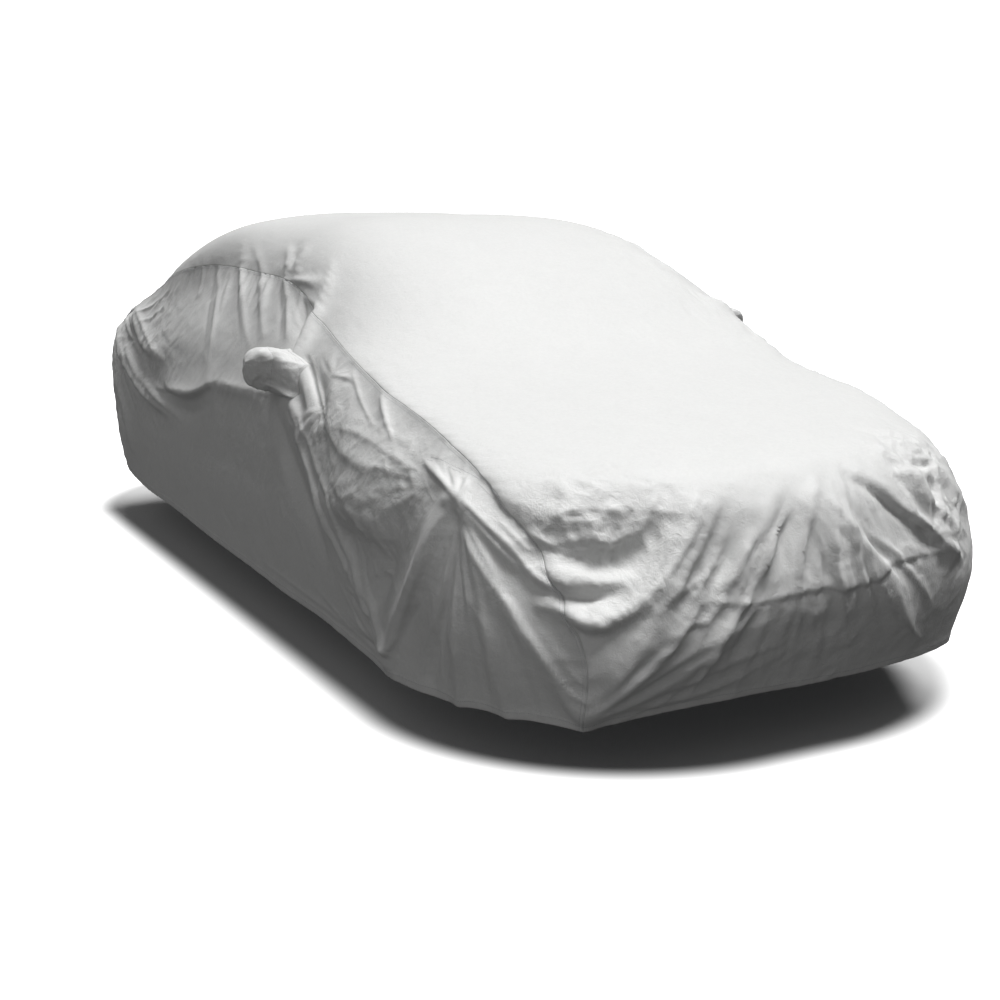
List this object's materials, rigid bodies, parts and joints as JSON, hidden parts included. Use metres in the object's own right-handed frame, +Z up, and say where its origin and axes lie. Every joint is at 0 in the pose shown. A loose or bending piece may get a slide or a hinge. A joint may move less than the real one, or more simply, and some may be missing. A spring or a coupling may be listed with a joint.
{
  "type": "car cover",
  "caption": "Fitted silver cloth cover for a saloon car, sewn from a long top panel and two side panels with mirror pockets, hollow and open below.",
  "frame": {"origin": "under the crown of the top panel, on the centre line, where the cover is held up", "axes": "+Z up, -Y towards the front end, +X towards the left side; the ground lies 1.497 m below the origin"},
  "size_m": [2.0666, 4.8127, 1.3155],
  "materials": {
    "silver_cloth": "silver-grey woven cloth with a soft sheen",
    "seam_thread": "grey sewing thread"
  },
  "bodies": {
    "root": {"top_panel": "silver_cloth", "side_panel_right": "silver_cloth", "side_panel_left": "silver_cloth", "mirror_pocket_right": "silver_cloth", "mirror_pocket_left": "silver_cloth"}
  },
  "joints": []
}
